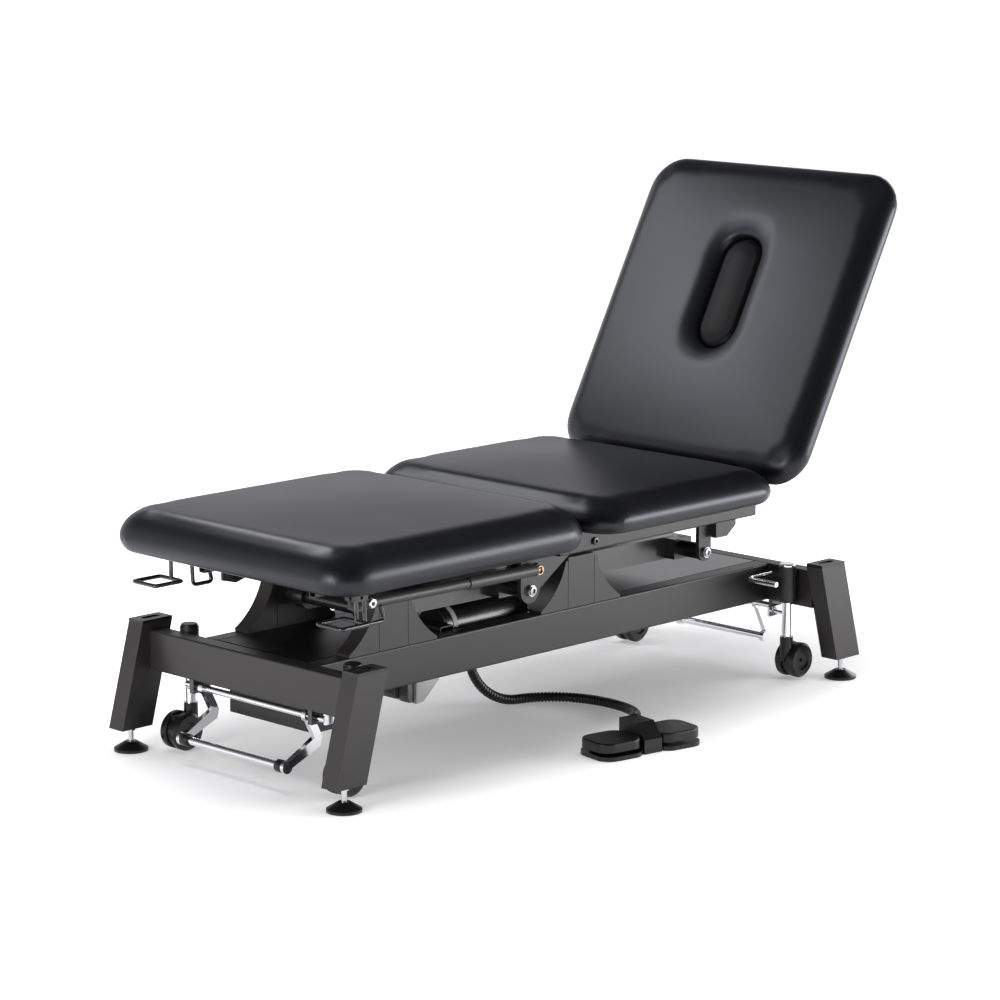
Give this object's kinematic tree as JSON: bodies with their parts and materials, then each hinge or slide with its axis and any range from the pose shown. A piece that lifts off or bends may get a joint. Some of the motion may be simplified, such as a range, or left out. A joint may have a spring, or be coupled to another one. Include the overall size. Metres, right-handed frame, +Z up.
{
  "type": "electric treatment couch",
  "caption": "Electric treatment couch with padded leg, seat and tilting back sections on a parallelogram lift, drop-down castors with pedals and a wired foot switch.",
  "frame": {"origin": "on the floor, midway between the four levelling feet", "axes": "+X towards the head end, +Y towards the far long side, +Z up"},
  "size_m": [1.7401, 0.8587, 1.1288],
  "materials": {
    "frame_paint": "satin",
    "cover_vinyl": "satin",
    "black_plastic": "matte",
    "grey_plastic": "matte",
    "chrome_steel": "polished",
    "dark_steel": "gloss",
    "wheel_rubber": "matte",
    "hose_plastic": "matte"
  },
  "bodies": {
    "base": {"side_rail_near": "frame_paint", "side_rail_far": "frame_paint", "foot_crossbar": "frame_paint", "head_crossbar": "frame_paint", "foot_legs": "frame_paint", "head_legs": "frame_paint", "leg_caps": "black_plastic", "lift_posts_foot": "frame_paint", "lift_posts_head": "frame_paint", "cover_panels": "frame_paint", "control_box": "black_plastic", "base_tray": "frame_paint", "control_unit": "grey_plastic", "hose_gland": "black_plastic", "castor_sleeves": "frame_paint", "castor_trim": "chrome_steel", "pedal_hangers": "dark_steel", "lift_motor": "grey_plastic", "foot_switch_base": "black_plastic", "foot_switch_hose": "hose_plastic"},
    "pedal_foot": {"castor_pedal_foot": "chrome_steel"},
    "pedal_head": {"castor_pedal_head": "chrome_steel"},
    "arms_head": {"lift_arms_head": "frame_paint"},
    "arms_foot": {"lift_arms_foot": "frame_paint"},
    "ram": {"lift_ram": "chrome_steel"},
    "upper_frame": {"seat_bars": "frame_paint", "seat_ties": "frame_paint", "lift_hangers": "frame_paint", "seat_cushion": "cover_vinyl", "back_strut_tube": "dark_steel"},
    "back": {"back_frame": "frame_paint", "back_cushion": "cover_vinyl"},
    "plug": {"face_plug": "cover_vinyl"},
    "strut_rod": {"back_strut_rod": "chrome_steel"},
    "leg_section": {"leg_frame": "frame_paint", "leg_cushion": "cover_vinyl"},
    "gas_guard_near": {"gas_spring_guard_near": "dark_steel"},
    "gas_body_near": {"gas_spring_body_near": "dark_steel"},
    "handle_near": {"release_handle_near": "dark_steel"},
    "gas_guard_far": {"gas_spring_guard_far": "dark_steel"},
    "gas_body_far": {"gas_spring_body_far": "dark_steel"},
    "handle_far": {"release_handle_far": "dark_steel"},
    "levelling_foot_near": {"levelling_foot_foot_near": "black_plastic"},
    "plunger_foot_near": {"castor_plunger_foot_near": "chrome_steel"},
    "yoke_foot_near": {"castor_yoke_foot_near": "black_plastic"},
    "wheels_foot_near": {"castor_wheels_foot_near": "wheel_rubber"},
    "levelling_foot_far": {"levelling_foot_foot_far": "black_plastic"},
    "plunger_foot_far": {"castor_plunger_foot_far": "chrome_steel"},
    "yoke_foot_far": {"castor_yoke_foot_far": "black_plastic"},
    "wheels_foot_far": {"castor_wheels_foot_far": "wheel_rubber"},
    "levelling_head_near": {"levelling_foot_head_near": "black_plastic"},
    "plunger_head_near": {"castor_plunger_head_near": "chrome_steel"},
    "yoke_head_near": {"castor_yoke_head_near": "black_plastic"},
    "wheels_head_near": {"castor_wheels_head_near": "wheel_rubber"},
    "levelling_head_far": {"levelling_foot_head_far": "black_plastic"},
    "plunger_head_far": {"castor_plunger_head_far": "chrome_steel"},
    "yoke_head_far": {"castor_yoke_head_far": "black_plastic"},
    "wheels_head_far": {"castor_wheels_head_far": "wheel_rubber"},
    "switch_pad_low": {"foot_switch_pad_low": "black_plastic"},
    "switch_pad_high": {"foot_switch_pad_high": "black_plastic"}
  },
  "joints": [
    {"name": "lift", "type": "hinge", "parent": "base", "child": "arms_head", "pos_m": [0.07, 0, 0.322], "axis": [0, -1, 0], "range_deg": [0, 70]},
    {"name": "lift_foot_pair", "type": "hinge", "parent": "base", "child": "arms_foot", "pos_m": [-0.485, 0, 0.322], "axis": [0, -1, 0], "range_deg": [0, 70]},
    {"name": "upper_level", "type": "hinge", "parent": "arms_head", "child": "upper_frame", "pos_m": [0.442, 0, 0.32], "axis": [0, -1, 0], "range_deg": [-70, 0]},
    {"name": "ram_slide", "type": "slide", "parent": "base", "child": "ram", "axis": [1, 0, 0], "range_m": [0, 0.1108]},
    {"name": "back_tilt", "type": "hinge", "parent": "upper_frame", "child": "back", "pos_m": [0.584, 0, 0.446], "axis": [0, -1, 0], "range_deg": [-61.3, 8.7]},
    {"name": "strut_slide", "type": "slide", "parent": "upper_frame", "child": "strut_rod", "axis": [1, 0, 0], "range_m": [-0.0516, 0.0076]},
    {"name": "plug_pull", "type": "slide", "parent": "back", "child": "plug", "axis": [-0.8771, 0, 0.4802], "range_m": [0, 0.1]},
    {"name": "leg_tilt", "type": "hinge", "parent": "upper_frame", "child": "leg_section", "pos_m": [0.058, 0, 0.405], "axis": [0, 1, 0], "range_deg": [0, 30]},
    {"name": "gas_tilt_near", "type": "hinge", "parent": "upper_frame", "child": "gas_guard_near", "pos_m": [-0.11, -0.216, 0.367], "axis": [0, 1, 0], "range_deg": [0, 39.2]},
    {"name": "gas_slide_near", "type": "slide", "parent": "gas_guard_near", "child": "gas_body_near", "axis": [-0.9999, 0, 0.0104], "range_m": [0, 0.0446]},
    {"name": "handle_pull_near", "type": "hinge", "parent": "leg_section", "child": "handle_near", "pos_m": [-0.687, -0.282, 0.41], "axis": [0, 1, 0], "range_deg": [0, 12], "stiffness_Nm_per_rad": 0.6, "springref_deg": -11.46},
    {"name": "gas_tilt_far", "type": "hinge", "parent": "upper_frame", "child": "gas_guard_far", "pos_m": [-0.11, 0.216, 0.367], "axis": [0, 1, 0], "range_deg": [0, 39.2]},
    {"name": "gas_slide_far", "type": "slide", "parent": "gas_guard_far", "child": "gas_body_far", "axis": [-0.9999, 0, 0.0104], "range_m": [0, 0.0446]},
    {"name": "handle_pull_far", "type": "hinge", "parent": "leg_section", "child": "handle_far", "pos_m": [-0.687, 0.282, 0.41], "axis": [0, 1, 0], "range_deg": [0, 12], "stiffness_Nm_per_rad": 0.6, "springref_deg": -11.46},
    {"name": "pedal_lift_foot", "type": "hinge", "parent": "base", "child": "pedal_foot", "pos_m": [-0.708, 0, 0.152], "axis": [0, 1, 0], "range_deg": [0, 18.97]},
    {"name": "foot_screw_foot_near", "type": "hinge", "parent": "base", "child": "levelling_foot_near", "pos_m": [-0.767, -0.3275, 0.03], "axis": [0, 0, 1], "continuous": true},
    {"name": "castor_drop_foot_near", "type": "slide", "parent": "base", "child": "plunger_foot_near", "axis": [0, 0, -1], "range_m": [0, 0.013]},
    {"name": "swivel_foot_near", "type": "hinge", "parent": "plunger_foot_near", "child": "yoke_foot_near", "pos_m": [-0.668, -0.25, 0.1], "axis": [0, 0, 1], "continuous": true},
    {"name": "wheel_spin_foot_near", "type": "hinge", "parent": "yoke_foot_near", "child": "wheels_foot_near", "pos_m": [-0.694, -0.25, 0.043], "axis": [0, 1, 0], "continuous": true},
    {"name": "foot_screw_foot_far", "type": "hinge", "parent": "base", "child": "levelling_foot_far", "pos_m": [-0.767, 0.3275, 0.03], "axis": [0, 0, 1], "continuous": true},
    {"name": "castor_drop_foot_far", "type": "slide", "parent": "base", "child": "plunger_foot_far", "axis": [0, 0, -1], "range_m": [0, 0.013]},
    {"name": "swivel_foot_far", "type": "hinge", "parent": "plunger_foot_far", "child": "yoke_foot_far", "pos_m": [-0.668, 0.25, 0.1], "axis": [0, 0, 1], "continuous": true},
    {"name": "wheel_spin_foot_far", "type": "hinge", "parent": "yoke_foot_far", "child": "wheels_foot_far", "pos_m": [-0.694, 0.25, 0.043], "axis": [0, 1, 0], "continuous": true},
    {"name": "pedal_lift_head", "type": "hinge", "parent": "base", "child": "pedal_head", "pos_m": [0.708, 0, 0.152], "axis": [0, -1, 0], "range_deg": [0, 18.97]},
    {"name": "foot_screw_head_near", "type": "hinge", "parent": "base", "child": "levelling_head_near", "pos_m": [0.767, -0.3275, 0.03], "axis": [0, 0, 1], "continuous": true},
    {"name": "castor_drop_head_near", "type": "slide", "parent": "base", "child": "plunger_head_near", "axis": [0, 0, -1], "range_m": [0, 0.013]},
    {"name": "swivel_head_near", "type": "hinge", "parent": "plunger_head_near", "child": "yoke_head_near", "pos_m": [0.668, -0.25, 0.1], "axis": [0, 0, 1], "continuous": true},
    {"name": "wheel_spin_head_near", "type": "hinge", "parent": "yoke_head_near", "child": "wheels_head_near", "pos_m": [0.694, -0.25, 0.043], "axis": [0, 1, 0], "continuous": true},
    {"name": "foot_screw_head_far", "type": "hinge", "parent": "base", "child": "levelling_head_far", "pos_m": [0.767, 0.3275, 0.03], "axis": [0, 0, 1], "continuous": true},
    {"name": "castor_drop_head_far", "type": "slide", "parent": "base", "child": "plunger_head_far", "axis": [0, 0, -1], "range_m": [0, 0.013]},
    {"name": "swivel_head_far", "type": "hinge", "parent": "plunger_head_far", "child": "yoke_head_far", "pos_m": [0.668, 0.25, 0.1], "axis": [0, 0, 1], "continuous": true},
    {"name": "wheel_spin_head_far", "type": "hinge", "parent": "yoke_head_far", "child": "wheels_head_far", "pos_m": [0.694, 0.25, 0.043], "axis": [0, 1, 0], "continuous": true},
    {"name": "switch_press_low", "type": "hinge", "parent": "base", "child": "switch_pad_low", "pos_m": [-0.00488, -0.38362, 0.0126], "axis": [0.9848, -0.1736, 0], "range_deg": [0, 4], "stiffness_Nm_per_rad": 6, "springref_deg": -6.88},
    {"name": "switch_press_high", "type": "hinge", "parent": "base", "child": "switch_pad_high", "pos_m": [-0.00488, -0.38362, 0.0126], "axis": [0.9848, -0.1736, 0], "range_deg": [0, 4], "stiffness_Nm_per_rad": 6, "springref_deg": -6.88}
  ],
  "couplings": [
    {"joint": "lift_foot_pair", "follows": "lift", "ratio": 1},
    {"joint": "upper_level", "follows": "lift", "ratio": -1},
    {"joint": "ram_slide", "follows": "lift", "m_per_rad": 0.09055},
    {"joint": "strut_slide", "follows": "back_tilt", "m_per_rad": 0.048},
    {"joint": "gas_tilt_near", "follows": "leg_tilt", "ratio": 1.298},
    {"joint": "gas_slide_near", "follows": "leg_tilt", "m_per_rad": 0.084},
    {"joint": "gas_tilt_far", "follows": "leg_tilt", "ratio": 1.298},
    {"joint": "gas_slide_far", "follows": "leg_tilt", "m_per_rad": 0.084},
    {"joint": "castor_drop_foot_near", "follows": "pedal_lift_foot", "m_per_rad": 0.0392},
    {"joint": "castor_drop_foot_far", "follows": "pedal_lift_foot", "m_per_rad": 0.0392},
    {"joint": "castor_drop_head_near", "follows": "pedal_lift_head", "m_per_rad": 0.0392},
    {"joint": "castor_drop_head_far", "follows": "pedal_lift_head", "m_per_rad": 0.0392}
  ]
}
